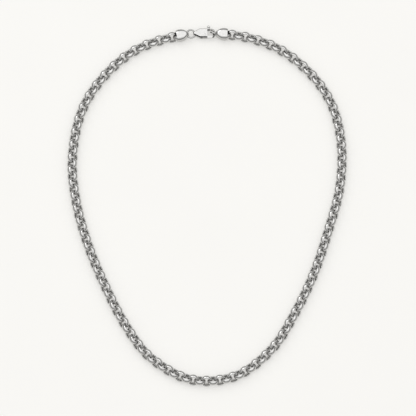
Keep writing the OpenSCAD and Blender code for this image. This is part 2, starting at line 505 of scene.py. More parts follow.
    @staticmethod
    def lay(obj: bpy.types.Object, name: str, at: Matrix, finish: bpy.types.Material,
            slot: Slot, stands_for: str, body: Body = Body.NECKLACE) -> None:
        """Lay a finished piece in place on the necklace, in metres.

        Args:
            obj: The modelled piece, in millimetres.
            name: The piece's plain name.
            at: Where it goes, in millimetres.
            finish: Its material.
            slot: The record's slot for that material; not used.
            stands_for: The solid that it stands for.
            body: The body that it rides on.
        """
        obj.data.transform(Matrix.Scale(MM, 4) @ at)
        obj.name = name
        obj.data.name = name
        obj.data.materials.clear()
        obj.data.materials.append(finish)
        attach(obj, body.value)
        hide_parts(stands_for)
        log.info("%s: %d faces, stands for %s", name, len(obj.data.polygons), stands_for)


def place(x: float, y: float, z: float, turn: float = 0.0) -> Matrix:
    """A place in millimetres with a turn in plan in degrees."""
    return Matrix.Translation((x, y, z)) @ Matrix.Rotation(math.radians(turn), 4, "Z")


def heading(degrees: float) -> Vector:
    """The unit vector of a heading in plan."""
    return Vector((math.cos(math.radians(degrees)), math.sin(math.radians(degrees))))


# The closure's places and the chain's run


@dataclass(frozen=True)
class Closure:
    """Sizes and places that the caps, the rings and the clasp share."""

    clasp_at: Point = (-6.4, 81.4275)
    clasp_l: float = 10.1
    clasp_z: float = 1.95
    cap_l: float = 5.75
    cap_z: float = 2.6
    link_inset: float = 0.9
    jump_d: float = 4.6
    jump_wire: float = 0.8
    eye_back: float = 0.86
    jump_turn: float = 9.0
    left_turn: float = 11.0
    right_turn: float = -3.0
    tip_gap: float = 0.16
    tip_drop: float = 0.35
    catch_d: float = 3.7
    catch_wire: float = 0.7
    catch_lean: float = 12.0
    catch_turn: float = -12.0
    catch_in: float = 0.95
    catch_off: float = 0.5
    bar_w: float = 0.98
    gap: float = 0.1

    @property
    def jump_r(self) -> float:
        """Mean radius of the jump ring."""
        return (self.jump_d - self.jump_wire) / 2

    @property
    def catch_r(self) -> float:
        """Mean radius of the catch ring."""
        return (self.catch_d - self.catch_wire) / 2

    @property
    def tail_eye(self) -> Vector:
        """Where the jump ring runs through the clasp's tail."""
        return Vector(self.clasp_at) + Vector((self.eye_back, 0.0))

    @property
    def left_eye(self) -> Vector:
        """Where the jump ring runs through the left cap's tip."""
        return self.tail_eye - 2 * self.jump_r * heading(self.jump_turn)

    @property
    def left_mouth(self) -> Vector:
        """Middle of the left cap's mouth."""
        return self.left_eye + (self.eye_back - self.cap_l) * heading(self.left_turn)

    @property
    def right_mouth(self) -> Vector:
        """Middle of the right cap's mouth."""
        tip = Vector(self.clasp_at) + Vector((self.clasp_l + self.tip_gap, -self.tip_drop))
        return tip + self.cap_l * heading(self.right_turn)

    def left_cap_place(self) -> Matrix:
        """Where the left cap's mouth is, its axis towards the clasp."""
        return place(*self.left_mouth, self.cap_z, self.left_turn)

    def right_cap_place(self) -> Matrix:
        """Where the right cap's mouth is, its axis towards the clasp."""
        return place(*self.right_mouth, self.cap_z, 180 + self.right_turn)

    def clasp_place(self) -> Matrix:
        """Where the clasp's tail is, on its middle plane."""
        return place(*self.clasp_at, self.clasp_z)

    def catch_place(self) -> Matrix:
        """Where the catch ring stands, through the claw and into the right cap.

        Returns:
            The place of the ring's middle, with the ring upright and leaning a little.
        """
        bar_in = self.clasp_at[0] + self.clasp_l - self.bar_w
        x = bar_in - self.catch_in + self.catch_r
        drop = self.catch_r * math.sin(math.radians(self.catch_turn))
        y = self.clasp_at[1] + self.catch_off + drop
        return (place(x, y, self.clasp_z, self.catch_turn)
                @ Matrix.Rotation(math.radians(90 + self.catch_lean), 4, "X"))

    def jump_place(self) -> Matrix:
        """Where the jump ring lies, tipped from the cap's eye down to the tail's.

        Returns:
            The place of the ring's middle.
        """
        middle = (self.left_eye + self.tail_eye) / 2
        tip = math.asin((self.cap_z - self.clasp_z) / (2 * self.jump_r))
        return (place(middle.x, middle.y, (self.cap_z + self.clasp_z) / 2, self.jump_turn)
                @ Matrix.Rotation(tip, 4, "Y"))


@dataclass(frozen=True)
class ChainRun:
    """The chain's run as a smooth curve through chosen points, with evenly spaced links."""

    closure: Closure
    points: tuple[Point, ...] = (
        (-33.5, 73), (-49, 59), (-58.5, 42), (-62, 20.5), (-60, 0.5), (-54.5, -19.5),
        (-46.5, -39), (-37, -57.5), (-25.5, -72.5), (-7.5, -82.5), (13, -81), (29.5, -68.5),
        (40, -52), (49, -33), (55.5, -13.5), (61, 7), (62, 28), (57.5, 47.5),
        (46.5, 63.5), (30, 75.5),
    )
    steps: int = 24
    links: int = 142
    sight: float = 0.5

    def curve(self) -> list[Vector]:
        """The run from one soldered link to the other.

        Returns:
            Points along the curve.
        """
        ends = self.closure
        start = ends.left_mouth + ends.link_inset * heading(ends.left_turn)
        end = ends.right_mouth - ends.link_inset * heading(ends.right_turn)
        run = [start, *(Vector(p) for p in self.points), end]
        before = run[1] + 2 * (run[1] - run[0]).length * heading(ends.left_turn)
        after = run[-2] - 2 * (run[-1] - run[-2]).length * heading(ends.right_turn)
        knots = [before, *run, after]
        out = []
        for a, b, c, d in zip(knots, knots[1:], knots[2:], knots[3:]):
            for step in range(self.steps):
                t = step / self.steps
                out.append(0.5 * (2 * b + (c - a) * t + (2 * a - 5 * b + 4 * c - d) * t * t
                                  + (3 * b - a - 3 * c + d) * t ** 3))
        return out + [end]

    def places(self, link: "HalfRoundLink") -> list[Matrix]:
        """Where every link lies, the two soldered ones included.

        Args:
            link: The link, for its height and its lean.

        Returns:
            One matrix for each link from 0 to the last.
        """
        curve = self.curve()
        lengths = [0.0]
        for a, b in zip(curve, curve[1:]):
            lengths.append(lengths[-1] + (b - a).length)
        total = lengths[-1]

        def at(distance: float) -> Vector:
            """The point that far along the run.

            Args:
                distance: Length along the curve, held to its two ends.

            Returns:
                The point in plan.
            """
            distance = min(max(distance, 0.0), total)
            for i, length in enumerate(lengths[1:]):
                if distance <= length:
                    share = (distance - lengths[i]) / (length - lengths[i])
                    return curve[i].lerp(curve[i + 1], share)
            return curve[-1]

        out = []
        for number in range(self.links + 1):
            distance = total * number / self.links
            point = at(distance)
            ahead = at(distance + self.sight) - at(distance - self.sight)
            turn = math.degrees(math.atan2(ahead.y, ahead.x))
            lean = link.lean if number % 2 == 0 else -link.lean
            out.append(place(point.x, point.y, link.height, turn)
                       @ Matrix.Rotation(math.radians(lean), 4, "X"))
        return out


# Chain


@dataclass(frozen=True)
class HalfRoundLink:
    """One closed link of half-round wire, domed outside and faintly crowned inside."""

    outside_d: float = 5.4
    wire_w: float = 2.1
    wire_t: float = 0.95
    dome_r: float = 1.5
    crown_r: float = 2.4
    lean: float = 45.0
    edge: float = 0.09
    trim: float = 0.1
    least_step: float = 0.02
    turns: int = 42
    dome_points: int = 40
    crown_points: int = 5
    crease: float = 50.0

    @property
    def half_w(self) -> float:
        """Half the width of the wire."""
        return self.wire_w / 2

    @property
    def side_x(self) -> float:
        """Radius at which the dome meets the wire's flat side."""
        return self.outside_d / 2 - self.dome_r + math.sqrt(self.dome_r ** 2 - self.half_w ** 2)

    @property
    def height(self) -> float:
        """Height of the leaning link's middle above the surface, on its wire's side."""
        lean = math.radians(self.lean)
        return self.side_x * math.sin(lean) + self.half_w * math.cos(lean)

    def on_side(self, vertex: bmesh.types.BMVert) -> bool:
        """Whether a point is on one of the wire's two flat sides."""
        return abs(abs(vertex.co.z) - self.half_w) < NEAR

    def on_arris(self, edge: bmesh.types.BMEdge) -> bool:
        """Whether an edge runs round the link where a side meets the dome or the crown."""
        first, second = (v.co.to_2d().length for v in edge.verts)
        return all(self.on_side(v) for v in edge.verts) and abs(first - second) < NEAR

    def inwards(self, vertex: bpy.types.MeshVertex) -> float:
        """How far a point is through the wire, from 0 on the dome to 1 on the crown."""
        return (self.outside_d / 2 - vertex.co.to_2d().length) / self.wire_t

    def model(self) -> bpy.types.Object:
        """Model the link flat round the origin.

        A circle is trimmed to the dome, its ends are drawn in for the wire's sides, one end
        is spun round the crown's centre to the other, and the section is spun into the ring.

        Returns:
            The link.
        """
        dome_x = self.outside_d / 2 - self.dome_r
        crown_x = self.outside_d / 2 - self.wire_t + self.crown_r
        inner_x = crown_x - math.sqrt(self.crown_r ** 2 - self.half_w ** 2)
        Bench.clear()
        bpy.ops.mesh.primitive_circle_add(vertices=self.dome_points, radius=self.dome_r,
                                          location=(dome_x, 0, 0),
                                          rotation=(math.radians(90), 0, 0))
        link = bpy.context.object
        Bench.seat(link)
        Bench.edit(link)
        for cut_at, away in (((dome_x + self.trim, 0, 0), (-1, 0, 0)),
                             ((0, 0, self.half_w), (0, 0, 1)),
                             ((0, 0, -self.half_w), (0, 0, -1))):
            Bench.everything()
            bpy.ops.mesh.bisect(plane_co=cut_at, plane_no=away, clear_outer=True)
        Bench.pick(link, "verts", self.on_side)
        Bench.push((inner_x - self.side_x, 0, 0))
        Bench.pick(link, "verts", lambda v: v.co.x < inner_x + NEAR and v.co.z < 0)
        bpy.ops.mesh.spin(steps=self.crown_points,
                          angle=2 * math.asin(self.half_w / self.crown_r),
                          center=(crown_x, 0, 0), axis=(0, -1, 0))
        Bench.everything()
        bpy.ops.mesh.remove_doubles(threshold=self.least_step)
        Bench.everything()
        bpy.ops.mesh.spin(steps=self.turns, angle=math.tau, center=(0, 0, 0), axis=(0, 0, 1))
        Bench.tidy(link)
        Bench.edit(link, "EDGE")
        Bench.pick(link, "edges", self.on_arris)
        bpy.ops.mesh.bevel(offset=self.edge, segments=2, affect="EDGES")
        Bench.clear()
        Bench.smooth(link, self.crease)
        # The link's crown side gets painted shade through this mark.
        Bench.mark_hollow_depth(link, self.inwards)
        return link


@dataclass(frozen=True)
class Chain:
    """The rolo chain in two strings of links."""

    run: ChainRun
    link: HalfRoundLink
    # The links' inner faces take the default hollow colour: painted shade between the links.
    finish: PolishedMetal = PolishedMetal("chain_white_metal", bright=(0.58, 0.577, 0.57),
                                          dull=(0.51, 0.507, 0.50))

    def build(self) -> None:
        """Model one link, copy it along the run and dress the two strings."""
        finish = self.finish.make()
        pattern = self.link.model()
        places = self.run.places(self.link)
        half = self.run.links // 2
        strings = {"chain_left": places[1:half + 1],
                   "chain_right": places[half + 1:self.run.links]}
        for name, spots in strings.items():
            string = Bench.join([Bench.copy(pattern, at) for at in spots])
            Bench.lay(string, name + "_links", HERE, finish, Slot.CHAIN, name)
        bpy.data.objects.remove(pattern, do_unlink=True)


# Rings and end caps


@dataclass(frozen=True)
class WireRing:
    """A closed ring of round wire, with a faint soldered seam if it has a swell."""

    mean_r: float
    wire_d: float
    turns: int = 64
    sides: int = 20
    swell: float = 0.0
    crease: float = 60.0

    def model(self) -> bpy.types.Object:
        """Model the ring flat round the origin.

        Returns:
            The ring, with the wire a little fuller where its ends are soldered.
        """
        Bench.clear()
        bpy.ops.mesh.primitive_circle_add(vertices=self.sides, radius=self.wire_d / 2,
                                          location=(self.mean_r, 0, 0),
                                          rotation=(math.radians(90), 0, 0))
        ring = bpy.context.object
        Bench.seat(ring)
        Bench.edit(ring)
        Bench.everything()
        bpy.ops.mesh.spin(steps=self.turns, angle=math.tau, center=(0, 0, 0), axis=(0, 0, 1))
        Bench.tidy(ring)
        if self.swell:
            Bench.edit(ring)
            Bench.pick(ring, "verts", lambda v: v.co.x > 0 and abs(v.co.y) < NEAR)
            Bench.resize([1 + self.swell] * 3, (self.mean_r, 0, 0))
            Bench.clear()
        Bench.smooth(ring, self.crease)
        return ring


def eye_cutter(closure: Closure) -> bpy.types.Object:
    """A ring in the jump ring's place, fuller by the gap, that cuts the eyes it runs through.

    Args:
        closure: The closure's sizes and places.

    Returns:
        The cutter.
    """
    cutter = WireRing(closure.jump_r, closure.jump_wire + 2 * closure.gap).model()
    cutter.data.transform(closure.jump_place())
    return cutter


@dataclass(frozen=True)
class EndCap:
    """A bell-shaped end cap: a rounded-square shell that tapers to a solid tip.

    Its profile gives shares of the length, of half the width and of half the height.
    """

    length: float = 5.75
    width: float = 5.7
    height: float = 5.2
    wall: float = 0.32
    corner: float = 1.7
    corner_steps: int = 4
    rim: float = 0.08
    profile: tuple[tuple[float, float, float], ...] = (
        (0, 0.9, 0.92), (0.06, 0.94, 0.95), (0.16, 0.98, 0.98), (0.3, 1, 1), (0.42, 0.98, 1),
        (0.54, 0.92, 0.98), (0.66, 0.8, 0.95), (0.77, 0.65, 0.9), (0.87, 0.48, 0.8),
        (0.95, 0.36, 0.62), (1, 0.24, 0.4),
    )
    hollow_to: int = 5
    tip_inset: float = 0.25
    floor_inset: float = 0.3
    across_limit: float = 0.7
    floor_weight: float = 0.5

    def half(self, row: int, wall: float = 0.0) -> tuple[float, float]:
        """Half the width and half the height at a row, less a wall."""
        _, plan, side = self.profile[row]
        return plan * self.width / 2 - wall, side * self.height / 2 - wall

    def draw_on(self, x_from: float, x_to: float, now: tuple[float, float],
                then: tuple[float, float]) -> None:
        """Draw the open edge on along the axis and change its width and height.

        Args:
            x_from: Where the edge is.
            x_to: Where it goes.
            now: Half its width and half its height.
            then: Half its width and half its height there.
        """
        Bench.push((x_to - x_from, 0, 0))
        Bench.resize((1, then[0] / now[0], then[1] / now[1]), (x_to, 0, 0))

    def draw_out(self, last: int, wall: float, inset: float) -> None:
        """Draw the selected edge of the mouth out row by row and close it.

        Args:
            last: The row at which it closes.
            wall: How far the edge lies inside the profile.
            inset: Share of the end face's smaller half that its inset takes.
        """
        x, now = 0.0, self.half(0, wall)
        for row in range(1, last + 1):
            x_to, then = self.profile[row][0] * self.length, self.half(row, wall)
            self.draw_on(x, x_to, now, then)
            x, now = x_to, then
        bpy.ops.mesh.edge_face_add()
        bpy.ops.mesh.inset(thickness=inset * min(now), depth=0)

    def on_rim(self, edge: bmesh.types.BMEdge) -> bool:
        """Whether an edge runs along the mouth's rim and not across it.

        Args:
            edge: An edge of the shell.

        Returns:
            Whether it is one of the rim's two outlines.
        """
        if not all(v.co.x < TOUCH for v in edge.verts):
            return False
        first, second = (v.co for v in edge.verts)
        across = (first - second).normalized().dot(((first + second) / 2).normalized())
        return len({len(v.link_edges) for v in edge.verts}) == 1 and abs(across) < self.across_limit

    def inside(self, vertex: bpy.types.MeshVertex) -> float:
        """1 for a point in the hollow behind the rim and 0 outside."""
        inwards = vertex.normal.dot((self.floor_weight, vertex.co.y, vertex.co.z)) < 0
        return float(vertex.co.x > self.rim and inwards)

    def shell(self) -> bpy.types.Object:
        """Model the shell, its mouth on X = 0 and its tip towards +X.

        A plane gets rounded corners, is drawn out row by row to the tip, and its mouth is
        turned in and drawn back up inside.

        Returns:
            The shell, softened all over and with a rounded rim.
        """
        start, inner = self.half(0), self.half(0, self.wall)
        Bench.clear()
        bpy.ops.mesh.primitive_plane_add(size=2, rotation=(0, math.radians(90), 0))
        cap = bpy.context.object
        Bench.seat(cap)
        Bench.edit(cap)
        Bench.everything()
        Bench.resize((1, start[0], start[1]), (0, 0, 0))
        bpy.ops.mesh.bevel(offset=self.corner, segments=self.corner_steps, affect="VERTICES")
        Bench.everything()
        bpy.ops.mesh.delete(type="ONLY_FACE")
        Bench.everything()
        self.draw_out(len(self.profile) - 1, 0.0, self.tip_inset)
        Bench.pick(cap, "verts", lambda v: v.co.x < TOUCH)
        self.draw_on(0, 0, start, inner)
        self.draw_out(self.hollow_to, self.wall, self.floor_inset)
        Bench.tidy(cap)
        Bench.edit(cap, "EDGE")
        Bench.pick(cap, "edges", self.on_rim)
        bpy.ops.mesh.bevel(offset=self.rim, segments=2, affect="EDGES")
        Bench.clear()
        soften = cap.modifiers.new("soften", "SUBSURF")
        soften.levels = soften.render_levels = 2
        Bench.apply(cap, soften)
        # The hollow behind the rim gets painted shade through this mark.
        Bench.mark_hollow_depth(cap, self.inside)
        return cap


@dataclass(frozen=True)
class Caps:
    """The two end caps with what is soldered to them, and the jump ring."""

    closure: Closure
    link: HalfRoundLink
    run: ChainRun
    cap: EndCap = EndCap()
    crease: float = 40.0
    seam_swell: float = 0.03
    # The near-black colour in the caps' hollows is painted shade.
    finish: PolishedMetal = PolishedMetal("cap_white_metal", haze=0.07,
                                          hollow_shade=(0.16, 0.157, 0.15))
    # The jump ring's darker colour is painted shade beside the cap's tip; its hazier roughness and
    # finer marks are the wire's own.
    ring_shaded_finish: PolishedMetal = PolishedMetal(
        "ring_wire_painted_shade", bright=(0.46, 0.457, 0.45), dull=(0.36, 0.357, 0.35), haze=0.16,
        mark_size_mm=0.09)

    def soldered(self, shell: bpy.types.Object, number: int) -> bpy.types.Object:
        """Join a shell in its place and the link that is soldered in its mouth.

        Args:
            shell: The cap's shell, where it lies.
            number: The link's number in the run.

        Returns:
            Shell and link as one piece.
        """
        link = self.link.model()
        link.data.transform(self.run.places(self.link)[number])
        return Bench.join([shell, link])

    def build(self) -> None:
        """Build both caps and the jump ring."""
        closure = self.closure
        finish = self.finish.make()

        left = self.cap.shell()
        left.data.transform(closure.left_cap_place())
        Bench.boolean(left, eye_cutter(closure), Cut.REMOVE)
        Bench.smooth(left, self.crease)
        left = self.soldered(left, 0)
        Bench.lay(left, "end_cap_left_bell", HERE, finish, Slot.CAP, "end_cap_left")

        right = self.cap.shell()
        Bench.smooth(right, self.crease)
        right.data.transform(closure.right_cap_place())
        right = self.soldered(right, self.run.links)
        catch = WireRing(closure.catch_r, closure.catch_wire).model()
        catch.data.transform(closure.catch_place())
        right = Bench.join([right, catch])
        Bench.lay(right, "end_cap_right_bell", HERE, finish, Slot.CAP, "end_cap_right")

        jump = WireRing(closure.jump_r, closure.jump_wire, swell=self.seam_swell).model()
        Bench.lay(jump, "jump_ring_wire", closure.jump_place(), self.ring_shaded_finish.make(),
                  Slot.CAP, "jump_ring")


# Clasp


@dataclass(frozen=True)
class ClaspSizes:
    """Sizes that the clasp's body, lever and rivet share, from the tail along X."""

    length: float = 10.1
    width: float = 4.4
    body_t: float = 3.0
    claw_t: float = 2.3
    claw_end_t: float = 1.5
    tail_t: float = 2.1
    body_l: float = 6.6
    shoulder_l: float = 3.2
    bar_w: float = 0.98
    arm_w: float = 0.95
    bevel: float = 0.46
    relief: float = 0.4
    tail_r: float = 0.95
    corner_r: float = 1.2
    claw_r: float = 1.35
    opening_r: float = 0.55
    overlap: float = 0.4
    lever_t: float = 0.9
    lever_gap: float = 0.1
    gate_w: float = 0.95
    gate_in: float = 0.05
    tab_d: float = 1.3
    tab_t: float = 1.8
    tab_out: float = 1.5
    tab_ahead: float = 0.6
    tab_bevel: float = 0.3
    stem_w: float = 0.9
    stem_back: float = 0.6
    stem_front: float = 0.8
    stem_knee: Point = (-0.1, 1.5)
    stem_shoulder: Point = (-0.1, -0.2)
    rivet_d: float = 1.0
    rivet_fit: float = 0.04
    hub_wall: float = 0.55
    hub_in: float = 0.15
    slot_mouth: float = 1.0
    slot_foot: float = 1.15
    slot_heel: Point = (-0.45, 0.7)
    slot_side: float = 0.3
    slot_neck: float = 0.05
    head_rim: float = 0.1
    head_slope: float = 0.12
    head_dish: float = 0.035
    body_edge: float = 0.07
    lever_edge: float = 0.06
    rivet_edge: float = 0.03

    @property
    def edge_y(self) -> float:
        """Half the width."""
        return self.width / 2

    @property
    def hub_r(self) -> float:
        """Radius of the lever's hub."""
        return self.rivet_d / 2 + self.hub_wall

    @property
    def bore_r(self) -> float:
        """Radius of the bores that the rivet runs in."""
        return self.rivet_d / 2 + self.rivet_fit

    @property
    def pivot(self) -> Point:
        """Where the rivet is."""
        return self.body_l - self.hub_in - self.hub_r, self.hub_in + self.hub_r - self.edge_y

    @property
    def opening_start(self) -> float:
        """Where the opening's cutters start, a little way inside the body."""
        return self.body_l - self.overlap

    @property
    def opening_end(self) -> float:
        """Where the claw's opening ends."""
        return self.length - self.bar_w

    @property
    def opening_top(self) -> float:
        """Upper side of the claw's opening."""
        return self.edge_y - self.arm_w

    @property
    def opening_corner(self) -> Point:
        """Centre of the rounded corner of the claw's opening."""
        return self.opening_end - self.opening_r, self.opening_top - self.opening_r

    @property
    def gate_top(self) -> float:
        """Upper side of the gate."""
        return self.gate_w - self.edge_y

    @property
    def reach(self) -> float:
        """Distance from the rivet to the opening's end."""
        return self.opening_end - self.pivot[0]

    @property
    def tab_at(self) -> Point:
        """Where the thumb tab is."""
        return self.body_l + self.tab_ahead, self.edge_y + self.tab_out - self.tab_d / 2


class Blank:
    """Solids cut and stretched from simple stock, centred on Z = 0 unless they say more."""

    SIDES = 48
    FINE_SIDES = 96
    RIM_STEEPNESS = 1.15
    LEAF = 0.02
    HULL_ANGLE = math.radians(1)

    @staticmethod
    def disc(at: Point, r: float, t: float, sides: int = SIDES) -> bpy.types.Object:
        """A disc.

        Args:
            at: Its middle in plan.
            r: Its radius.
            t: Its thickness.
            sides: How many sides its round has.

        Returns:
            The disc.
        """
        Bench.clear()
        bpy.ops.mesh.primitive_cylinder_add(vertices=sides, radius=r, depth=t,
                                            location=(at[0], at[1], 0))
        disc = bpy.context.object
        Bench.seat(disc)
        return disc

    @staticmethod
    def puck(at: Point, r: float, t: float, bevel: float) -> bpy.types.Object:
        """A disc with flat bevelled rims, a little steeper than 45 degrees.

        Args:
            at: Its middle in plan.
            r: Its radius.
            t: Its thickness.
            bevel: How far the bevel reaches in from the side.

        Returns:
            The puck.
        """
        puck = Blank.disc(at, r, t / Blank.RIM_STEEPNESS)
        Bench.edit(puck, "EDGE")
        Bench.pick(puck, "edges", lambda e: abs(e.verts[0].co.z - e.verts[1].co.z) < TOUCH)
        bpy.ops.mesh.bevel(offset=bevel, segments=1, affect="EDGES")
        Bench.everything()
        Bench.resize((1, 1, Blank.RIM_STEEPNESS), (0, 0, 0))
        Bench.clear()
        return puck

    @staticmethod
    def slab(low: Sequence[float], high: Sequence[float]) -> bpy.types.Object:
        """A block between two corners.

        Args:
            low: Its lowest corner.
            high: Its highest corner.

        Returns:
            The block.
        """
        middle = [(a + b) / 2 for a, b in zip(low, high)]
        Bench.clear()
        bpy.ops.mesh.primitive_cube_add(size=1, location=middle)
        slab = bpy.context.object
        slab.scale = [b - a for a, b in zip(low, high)]
        Bench.seat(slab)
        return slab

    @staticmethod
    def plate(outline: Sequence[Point], t: float) -> bpy.types.Object:
        """A plate of a convex or bent outline.

        A short edge is drawn from corner to corner, filled and given its thickness.

        Args:
            outline: The corners in order.
            t: The thickness.

        Returns:
            The plate.
        """
        Bench.clear()
        first = outline[0]
        bpy.ops.mesh.primitive_plane_add(size=1, location=(first[0], first[1], -t / 2))
        plate = bpy.context.object
        Bench.seat(plate)
        Bench.edit(plate)
        Bench.everything()
        bpy.ops.mesh.merge(type="CENTER")
        for now, then in zip(outline, outline[1:]):
            Bench.push((then[0] - now[0], then[1] - now[1], 0))
        Bench.everything()
        bpy.ops.mesh.edge_face_add()
        Bench.everything()
        Bench.push((0, 0, t))
        Bench.tidy(plate)
        return plate

    @staticmethod
    def stretch(parts: Sequence[bpy.types.Object]) -> bpy.types.Object:
        """Stretch one skin over several solids.

        Args:
            parts: The solids, which are used up.

        Returns:
            The skin, a closed convex solid.
        """
        skin = Bench.join(parts)
        Bench.edit(skin)
        Bench.everything()
        bpy.ops.mesh.convex_hull(face_threshold=Blank.HULL_ANGLE,
                                 shape_threshold=Blank.HULL_ANGLE)
        Bench.tidy(skin)
        return skin

    @staticmethod
    def soften(solid: bpy.types.Object, width: float, degrees: float = 35.0) -> None:
        """Take the sharpness off all edges steeper than an angle.

        Args:
            solid: The solid.
            width: Width of the softened edges.
            degrees: The angle.
        """
        modifier = solid.modifiers.new("soften", "BEVEL")
        modifier.width = width
        modifier.segments = 2
        modifier.limit_method = "ANGLE"
        modifier.angle_limit = math.radians(degrees)
        Bench.apply(solid, modifier)


@dataclass(frozen=True)
class LobsterClasp:
    """The clasp: a drop-shaped body with the fixed claw, the sprung lever and its rivet."""

    closure: Closure
    sizes: ClaspSizes = ClaspSizes()
    crease: float = 30.0
    finish: PolishedMetal = PolishedMetal("clasp_white_metal", haze=0.07)

    def claw(self) -> bpy.types.Object:
        """Model the claw with its opening, flatter towards its end.

        Returns:
            The claw, which starts inside the body.
        """
        z = self.sizes
        middle_y = z.edge_y - z.claw_r
        claw = Blank.stretch([
            Blank.puck((x, side * middle_y), z.claw_r, t, z.bevel)
            for side in (-1, 1)
            for x, t in ((z.body_l - z.corner_r, z.claw_t), (z.length - z.claw_r, z.claw_end_t))])
        for tool in (*self.openings(), self.relief_cutter(1), self.relief_cutter(-1)):
            Bench.boolean(claw, tool, Cut.REMOVE)
        Bench.clean(claw)
        return claw

    def body(self) -> bpy.types.Object:
        """Model the body and the claw at the origin.

        Returns:
            The body with its opening, its slot and the rivet's bore.
        """
        z = self.sizes
        side_y = z.edge_y - z.corner_r
        pucks = [Blank.puck((z.tail_r, 0), z.tail_r, z.tail_t, z.bevel)]
        for x in (z.body_l - z.shoulder_l, z.body_l):
            pucks += [Blank.puck((x, side * side_y), z.corner_r, z.body_t, z.bevel)
                      for side in (-1, 1)]
        body = Blank.stretch(pucks)
        Bench.boolean(body, Blank.slab((z.body_l, -FAR, -FAR), (z.body_l + FAR, FAR, FAR)),
                      Cut.REMOVE)
        Bench.boolean(body, self.claw(), Cut.JOIN)
        for tool in self.lever_room():
            Bench.boolean(body, tool, Cut.REMOVE)
        Bench.clean(body)
        Blank.soften(body, z.body_edge)
        Bench.smooth(body, self.crease)
        return body

    def relief_cutter(self, side: int) -> bpy.types.Object:
        """A tapered cutter for the chamfer round the claw's opening, where the ring slides.

        It widens from the opening's outline and leans with the claw's sloping face.

        Args:
            side: 1 for the upper face of the claw, -1 for the lower one.

        Returns:
            The cutter in place.
        """
        z = self.sizes
        right, top = z.opening_corner
        leaf = Blank.LEAF / 2
        layers = []
        for level, grow in ((-z.relief, 0.0), (z.relief, 2 * z.relief)):
            for part in (
                    Blank.disc((right, top), z.opening_r + grow, Blank.LEAF),
                    Blank.slab((z.opening_start, z.gate_top, -leaf),
                               (right, z.opening_top + grow, leaf)),
                    Blank.slab((right - z.overlap / 2, z.gate_top, -leaf),
                               (z.opening_end + grow, top, leaf))):
                part.data.transform(Matrix.Translation((0, 0, level)))
                layers.append(part)
        cutter = Blank.stretch(layers)
        start = Vector((z.body_l - z.corner_r, 0, z.claw_t / 2))
        fall = math.atan2((z.claw_t - z.claw_end_t) / 2, z.length - z.claw_r - start.x)
        cutter.data.transform(Matrix.Translation(start) @ Matrix.Rotation(fall, 4, "Y")
                              @ Matrix.Translation((-start.x, 0, 0)))
        cutter.data.transform(Matrix.Diagonal((1, 1, side, 1)))
        Bench.tidy(cutter)
        return cutter

    def openings(self) -> list[bpy.types.Object]:
        """The cutters of the claw's opening and of the gate's sweep.

        Their ends lie at different heights, so that no two faces coincide.

        Returns:
            Solids to take away from the claw, which reach a little way into the body.
        """
        z = self.sizes
        right, top = z.opening_corner
        start = z.opening_start
        opening = Blank.slab((start, z.gate_top, -FAR), (right, z.opening_top, FAR))
        Bench.boolean(opening, Blank.slab((start, z.gate_top, 1 - FAR),
                                          (z.opening_end, top, FAR - 1)), Cut.JOIN)
        Bench.boolean(opening, Blank.disc((right, top), z.opening_r, 2 * FAR - 1), Cut.JOIN)
        sweep = Blank.disc(z.pivot, z.reach, 2 * FAR, Blank.FINE_SIDES)
        Bench.boolean(sweep, Blank.slab((start, -FAR, 0.5 - FAR),
                                        (2 * FAR + 1, z.gate_top + z.lever_gap, FAR - 0.5)),
                      Cut.KEEP)
        return [opening, sweep]

    def lever_room(self) -> list[bpy.types.Object]:
        """The cutters of the slot that the lever swings in and of the rivet's bore.

        Returns:
            Solids to take away from the body.
        """
        z = self.sizes
        x, y = z.pivot
        back, front = x - z.hub_r, z.body_l + z.hub_in
        below, above = -z.edge_y - z.slot_mouth, z.edge_y + z.slot_mouth
        stem_side = z.tab_at[0] + z.stem_w / 2
        slot = Blank.plate([
            (back - z.slot_foot, below), (back + z.slot_heel[0], y + z.slot_heel[1]),
            (x - z.slot_side, z.edge_y), (x - z.slot_side, above),
            (stem_side + z.slot_side, above), (stem_side - z.slot_neck, z.edge_y),
            (front, z.opening_top - z.slot_side), (front, below),
        ], z.lever_t + 2 * z.lever_gap)
        bore = Blank.disc(z.pivot, z.bore_r, FAR)
        return [slot, bore]

    def lever(self) -> bpy.types.Object:
        """Model the lever at the origin: hub, gate, stem and thumb tab.

        Returns:
            The lever.
        """
        z = self.sizes
        x, y = z.pivot
        lever = Blank.disc(z.pivot, z.hub_r, z.lever_t)
        gate = Blank.disc(z.pivot, z.reach - z.lever_gap, z.lever_t, Blank.FINE_SIDES)
        Bench.boolean(gate, Blank.slab((x - z.hub_r, z.gate_in - z.edge_y, -FAR),
                                       (x + z.reach, z.gate_top, FAR)), Cut.KEEP)
        Bench.boolean(lever, gate, Cut.JOIN)
        tab_x, stem_top = z.tab_at[0], z.tab_at[1] - z.tab_d / 4
        stem = Blank.plate([
            (x - z.stem_back, y), (x + z.stem_knee[0], y + z.stem_knee[1]),
            (tab_x - z.stem_w / 2, stem_top), (tab_x + z.stem_w / 2, stem_top),
            (tab_x + z.stem_w / 6, z.edge_y),
            (z.body_l + z.stem_shoulder[0], z.opening_top + z.stem_shoulder[1]),
            (x + z.stem_front, y)], z.lever_t)
        Bench.boolean(lever, stem, Cut.JOIN)
        Bench.boolean(lever, Blank.disc(z.pivot, z.bore_r, FAR), Cut.REMOVE)
        Bench.boolean(lever, Blank.puck(z.tab_at, z.tab_d / 2, z.tab_t, z.tab_bevel), Cut.JOIN)
        Bench.clean(lever)
        Blank.soften(lever, z.lever_edge)
        Bench.smooth(lever, self.crease)
        Bench.even(lever)
        return lever

